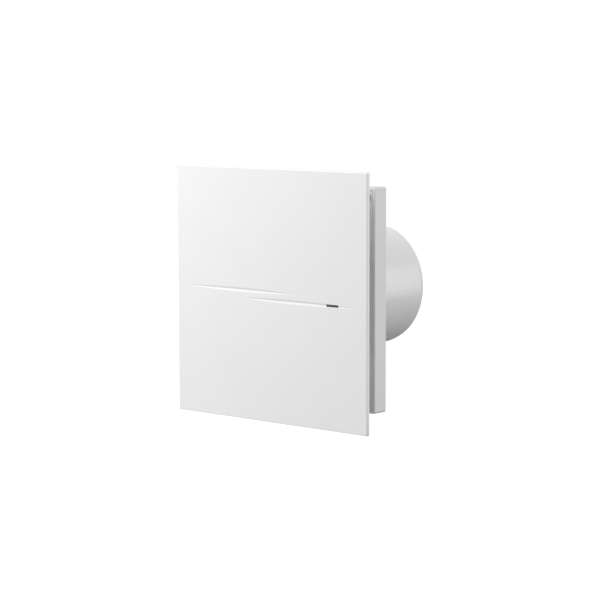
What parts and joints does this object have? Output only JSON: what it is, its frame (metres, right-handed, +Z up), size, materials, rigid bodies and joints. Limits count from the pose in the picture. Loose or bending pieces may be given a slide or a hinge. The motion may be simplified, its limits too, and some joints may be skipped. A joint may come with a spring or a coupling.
{
  "type": "bathroom extractor fan",
  "caption": "Wall extractor fan: square flat front panel standing off a shallow square casing, with a round duct spigot, axial fan and back-draught flaps.",
  "frame": {"origin": "on the duct axis in the wall plane, which is the back of the casing", "axes": "+Y along the duct axis in the direction of the air flow, the front panel faces -Y, +Z up, +X to the right seen from the room"},
  "size_m": [0.202, 0.1345, 0.202],
  "materials": {
    "panel_white": "glossy injection-moulded white plastic with a fine shallow texture",
    "badge_dark": "dark grey satin plastic, blank",
    "carrier_white": "plain moulded white plastic",
    "casing_white": "semi-gloss moulded white plastic",
    "spigot_white": "semi-gloss moulded white plastic",
    "cover_white": "semi-gloss moulded white plastic",
    "guard_white": "semi-gloss moulded white plastic",
    "vane_grey": "moulded grey plastic",
    "impeller_grey": "moulded light grey plastic",
    "damper_white": "thin moulded white plastic",
    "screw_steel": "bright zinc-plated steel",
    "spring_steel": "spring steel",
    "housing_steel": "zinc-plated pressed steel",
    "lamination_steel": "stacked electrical steel laminations",
    "bearing_steel": "ground and polished bearing steel",
    "shaft_steel": "ground steel",
    "ring_aluminium": "die-cast aluminium",
    "copper": "enamelled copper wire",
    "brass": "machined brass",
    "rubber_black": "soft black rubber",
    "cage_nylon": "nylon",
    "terminal_white": "moulded nylon",
    "capacitor_grey": "grey moulded box",
    "wire_blue": "thin insulated wire",
    "cutout_black": "shrink-sleeved body"
  },
  "bodies": {
    "casing": {"panel_clips": "spring_steel", "rear_casing": "casing_white", "inlet_cover": "cover_white", "cover_screws": "screw_steel", "inlet_guard": "guard_white", "guard_screws": "screw_steel", "duct_spigot": "spigot_white", "spigot_screws": "screw_steel", "guide_vanes": "vane_grey", "motor_mounts": "rubber_black", "motor_washers": "screw_steel", "motor_screws": "screw_steel", "motor_housing": "housing_steel", "motor_end_cap": "housing_steel", "stator_core": "lamination_steel", "stator_windings": "copper", "thermal_cutout": "cutout_black", "bearing_outer_rings": "bearing_steel", "damper_frame": "damper_white", "damper_pin": "shaft_steel", "damper_spring_left": "spring_steel", "damper_spring_right": "spring_steel", "terminal_block": "terminal_white", "terminal_clamps": "brass", "terminal_screws": "screw_steel", "terminal_block_screws": "screw_steel", "terminal_cover": "cover_white", "terminal_cover_screw": "screw_steel", "cable_grommet": "rubber_black", "cable_clamp": "terminal_white", "cable_clamp_screws": "screw_steel", "run_capacitor": "capacitor_grey", "motor_lead": "wire_blue"},
    "rotor": {"motor_shaft": "shaft_steel", "rotor_core": "lamination_steel", "rotor_end_rings": "ring_aluminium", "bearing_inner_rings": "bearing_steel", "impeller": "impeller_grey", "nose_cone": "impeller_grey", "shaft_clip": "spring_steel"},
    "ball_set": {"bearing_balls": "bearing_steel", "bearing_cages": "cage_nylon"},
    "left_flap": {"damper_flap_left": "damper_white"},
    "right_flap": {"damper_flap_right": "damper_white"},
    "panel": {"front_panel": "panel_white", "blank_badge": "badge_dark", "panel_carrier": "carrier_white", "carrier_screws": "screw_steel"}
  },
  "joints": [
    {"name": "rotor_spin", "type": "hinge", "parent": "casing", "child": "rotor", "pos_m": [0, 0, 0], "axis": [0, 1, 0], "continuous": true},
    {"name": "ball_set_orbit", "type": "hinge", "parent": "casing", "child": "ball_set", "pos_m": [0, 0, 0], "axis": [0, 1, 0], "continuous": true},
    {"name": "right_flap_swing", "type": "hinge", "parent": "casing", "child": "right_flap", "pos_m": [0, 0.052, 0], "axis": [0, 0, 1], "range_deg": [0, 75], "stiffness_Nm_per_rad": 0.002, "springref_deg": -5.73, "deforming": ["damper_spring_right"]},
    {"name": "left_flap_swing", "type": "hinge", "parent": "casing", "child": "left_flap", "pos_m": [0, 0.052, 0], "axis": [0, 0, -1], "range_deg": [0, 75], "stiffness_Nm_per_rad": 0.002, "springref_deg": -5.73, "deforming": ["damper_spring_left"]},
    {"name": "panel_pull_off", "type": "slide", "parent": "casing", "child": "panel", "axis": [0, -1, 0], "range_m": [0, 0.05]}
  ],
  "couplings": [
    {"joint": "ball_set_orbit", "follows": "rotor_spin", "ratio": 0.3571}
  ]
}
